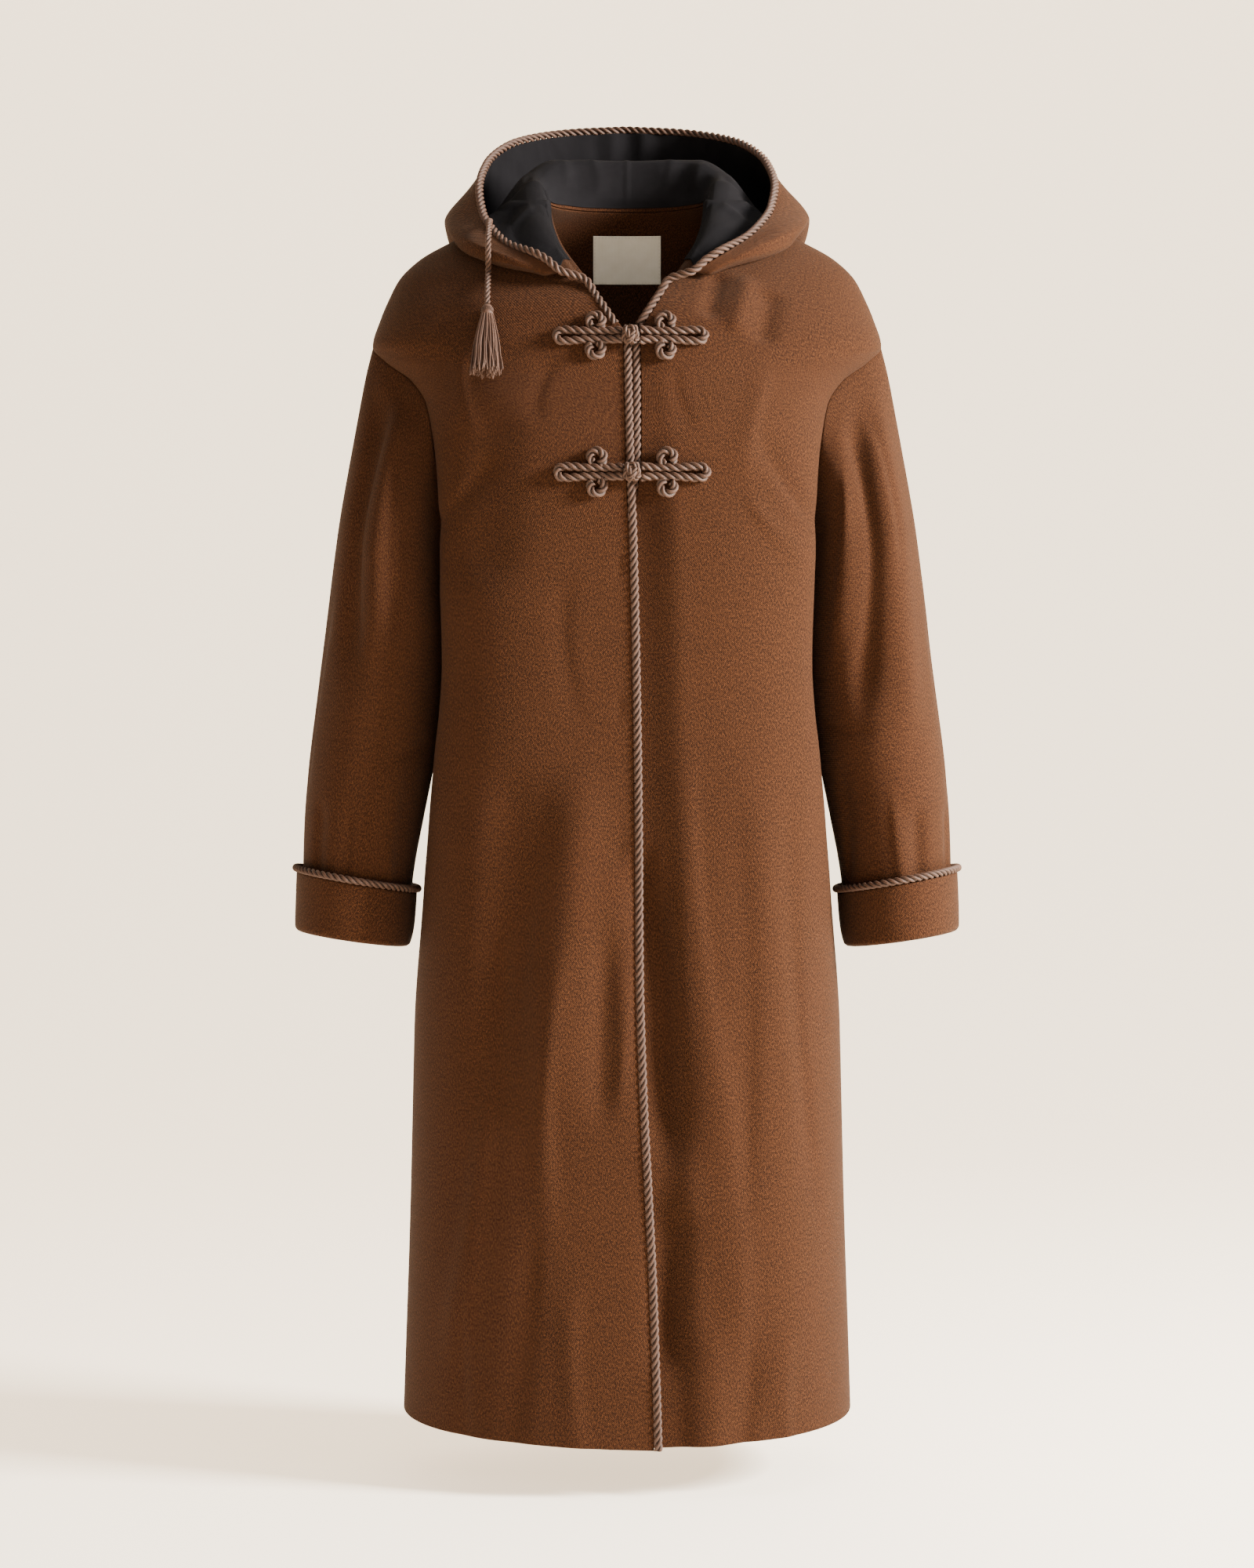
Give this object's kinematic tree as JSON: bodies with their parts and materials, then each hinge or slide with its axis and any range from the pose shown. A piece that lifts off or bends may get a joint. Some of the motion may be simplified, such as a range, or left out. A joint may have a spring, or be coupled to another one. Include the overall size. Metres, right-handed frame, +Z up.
{
  "type": "hooded coat",
  "caption": "Long hooded wool coat, filled out and hollow, with turn-up cuffs, cord trim, knotted frog closures and a hood laid open over the shoulders.",
  "frame": {"origin": "middle of the neck opening, where the coat hangs on its wearer's neck and shoulders", "axes": "+Z up from hem to neck, -Y the way the coat's front faces, +X towards the wearer's left"},
  "size_m": [0.6558, 0.3731, 1.3061],
  "materials": {
    "wool": "brown wool twill with a short nap",
    "lining": "black matt lining cloth",
    "label": "cream woven tape, blank",
    "cord": "brown twisted cord"
  },
  "bodies": {
    "root": {"back": "wool", "front_right": "wool", "front_left": "wool", "sleeve_right": "wool", "sleeve_left": "wool", "cuff_right": "wool", "cuff_left": "wool", "hood": "wool", "hood_lining": "lining", "neck_label": "label", "rim_cord": "cord", "edge_cord_right": "cord", "edge_cord_left": "cord", "cuff_cord_right": "cord", "cuff_cord_left": "cord", "frog_upper_right": "cord", "frog_upper_left": "cord", "frog_lower_right": "cord", "frog_lower_left": "cord", "knot_upper": "cord", "knot_lower": "cord", "tassel_cord": "cord", "tassel": "cord"}
  },
  "joints": []
}
